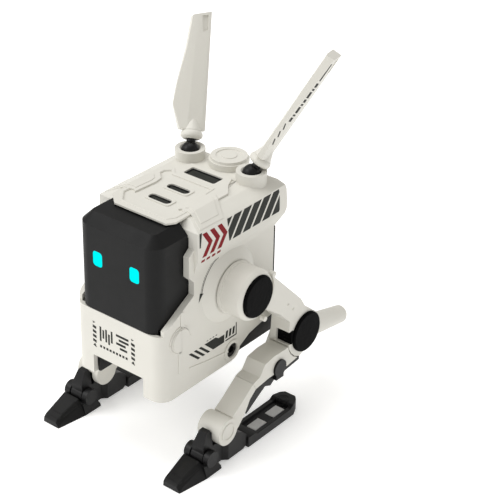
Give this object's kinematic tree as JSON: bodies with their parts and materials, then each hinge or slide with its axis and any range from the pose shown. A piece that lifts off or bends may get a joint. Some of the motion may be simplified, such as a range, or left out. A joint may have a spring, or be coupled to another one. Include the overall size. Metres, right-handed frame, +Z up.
{
  "type": "robot-shaped usb wall charger",
  "caption": "Posable two-legged toy robot whose box-shaped body is a USB wall charger, with a dark visor, lit eyes, jointed legs, flat feet and two swivelling blade-shaped ears.",
  "frame": {"origin": "on the surface that the feet rest on, under the middle of the overall length and width", "axes": "+Z up, the face looks along -Y, +X is the robot's left; the body and legs are symmetric about the X = 0 plane, the feet are one moulding used on both sides and the ears are posed a little differently"},
  "size_m": [0.0658, 0.0922, 0.1292],
  "materials": {
    "white_plastic": "satin, fine moulded texture",
    "black_plastic": "satin",
    "cap_plastic": "satin, coarse texture",
    "visor_plastic": "soft satin",
    "eye_light": "lit window",
    "socket_steel": "brushed",
    "screw_steel": "blackened",
    "pin_steel": "turned",
    "plug_brass": "nickel plated",
    "circuit_board": "solder mask",
    "ferrite": "ferrite core with taped winding",
    "capacitor_can": "sleeved can",
    "dark_print": "pad-printed ink, dark grey",
    "red_print": "pad-printed ink, deep red",
    "pad_rubber": "light grey, matte"
  },
  "bodies": {
    "body": {"main_shell": "white_plastic", "front_recess_liner": "black_plastic", "rear_base": "black_plastic", "side_discs": "white_plastic", "side_plugs": "black_plastic", "visor": "visor_plastic", "eye_lights": "eye_light", "top_cover": "white_plastic", "usb_a_shell": "socket_steel", "usb_c_shells": "socket_steel", "socket_tongues": "black_plastic", "round_cap": "white_plastic", "rear_panel": "black_plastic", "case_screws": "screw_steel", "port_board": "circuit_board", "main_board": "circuit_board", "display_board": "circuit_board", "transformer": "ferrite", "capacitors": "capacitor_can", "hip_shaft_left": "pin_steel", "hip_shaft_right": "pin_steel"},
    "plug_unit": {"plug_rotor": "black_plastic", "plug_blades": "plug_brass"},
    "thigh_unit_left": {"hip_drum_left": "white_plastic", "hip_cap_left": "cap_plastic", "thigh_left": "white_plastic", "knee_cap_left": "cap_plastic", "knee_pin_left": "pin_steel", "tail_rod_left": "white_plastic"},
    "shin_unit_left": {"shin_upper_left": "white_plastic", "shin_lower_left": "white_plastic", "shin_strut_left": "black_plastic", "ankle_pin_left": "pin_steel"},
    "foot_unit_left": {"foot_bracket_left": "black_plastic", "heel_plate_left": "black_plastic", "heel_pads_left": "pad_rubber"},
    "toe_unit_left": {"toe_plate_left": "black_plastic", "toe_pin_left": "pin_steel"},
    "ear_root_left": {"ear_stem_left": "black_plastic"},
    "ear_unit_left": {"ear_collar_left": "white_plastic", "ear_blade_left": "white_plastic"},
    "thigh_unit_right": {"hip_drum_right": "white_plastic", "hip_cap_right": "cap_plastic", "thigh_right": "white_plastic", "knee_cap_right": "cap_plastic", "knee_pin_right": "pin_steel", "tail_rod_right": "white_plastic"},
    "shin_unit_right": {"shin_upper_right": "white_plastic", "shin_lower_right": "white_plastic", "shin_strut_right": "black_plastic", "ankle_pin_right": "pin_steel"},
    "foot_unit_right": {"foot_bracket_right": "black_plastic", "heel_plate_right": "black_plastic", "heel_pads_right": "pad_rubber"},
    "toe_unit_right": {"toe_plate_right": "black_plastic", "toe_pin_right": "pin_steel"},
    "ear_root_right": {"ear_stem_right": "black_plastic"},
    "ear_unit_right": {"ear_collar_right": "white_plastic", "ear_blade_right": "white_plastic"}
  },
  "joints": [
    {"name": "plug_fold", "type": "hinge", "parent": "body", "child": "plug_unit", "pos_m": [0, 0.012, 0.044], "axis": [-1, 0, 0], "range_deg": [0, 90]},
    {"name": "hip_left", "type": "hinge", "parent": "body", "child": "thigh_unit_left", "pos_m": [0.0273, -0.0088, 0.0583], "axis": [1, 0, 0], "range_deg": [-30, 45]},
    {"name": "knee_left", "type": "hinge", "parent": "thigh_unit_left", "child": "shin_unit_left", "pos_m": [0.0273, 0.01855, 0.0318], "axis": [1, 0, 0], "range_deg": [-20, 40]},
    {"name": "ankle_left", "type": "hinge", "parent": "shin_unit_left", "child": "foot_unit_left", "pos_m": [0.0273, -0.0234, 0.0126], "axis": [1, 0, 0], "range_deg": [-25, 10]},
    {"name": "toe_left", "type": "hinge", "parent": "foot_unit_left", "child": "toe_unit_left", "pos_m": [0.0273, -0.0313, 0.006], "axis": [1, 0, 0], "range_deg": [-30, 20]},
    {"name": "ear_tilt_left", "type": "hinge", "parent": "body", "child": "ear_root_left", "pos_m": [0.0132, 0.0102, 0.0896], "axis": [1, 0, 0], "range_deg": [-2, 38]},
    {"name": "ear_spin_left", "type": "hinge", "parent": "ear_root_left", "child": "ear_unit_left", "pos_m": [0.0132, 0.0102, 0.0896], "axis": [0.315, 0.4808, 0.8183], "range_deg": [-60, 60]},
    {"name": "hip_right", "type": "hinge", "parent": "body", "child": "thigh_unit_right", "pos_m": [-0.0273, -0.0088, 0.0583], "axis": [1, 0, 0], "range_deg": [-30, 45]},
    {"name": "knee_right", "type": "hinge", "parent": "thigh_unit_right", "child": "shin_unit_right", "pos_m": [-0.0273, 0.01855, 0.0318], "axis": [1, 0, 0], "range_deg": [-20, 40]},
    {"name": "ankle_right", "type": "hinge", "parent": "shin_unit_right", "child": "foot_unit_right", "pos_m": [-0.0273, -0.0234, 0.0126], "axis": [1, 0, 0], "range_deg": [-25, 10]},
    {"name": "toe_right", "type": "hinge", "parent": "foot_unit_right", "child": "toe_unit_right", "pos_m": [-0.0273, -0.0313, 0.006], "axis": [1, 0, 0], "range_deg": [-30, 20]},
    {"name": "ear_tilt_right", "type": "hinge", "parent": "body", "child": "ear_root_right", "pos_m": [-0.0132, 0.0102, 0.0896], "axis": [1, 0, 0], "range_deg": [0, 40]},
    {"name": "ear_spin_right", "type": "hinge", "parent": "ear_root_right", "child": "ear_unit_right", "pos_m": [-0.0132, 0.0102, 0.0896], "axis": [-0.315, 0.509, 0.801], "range_deg": [-60, 60]}
  ]
}
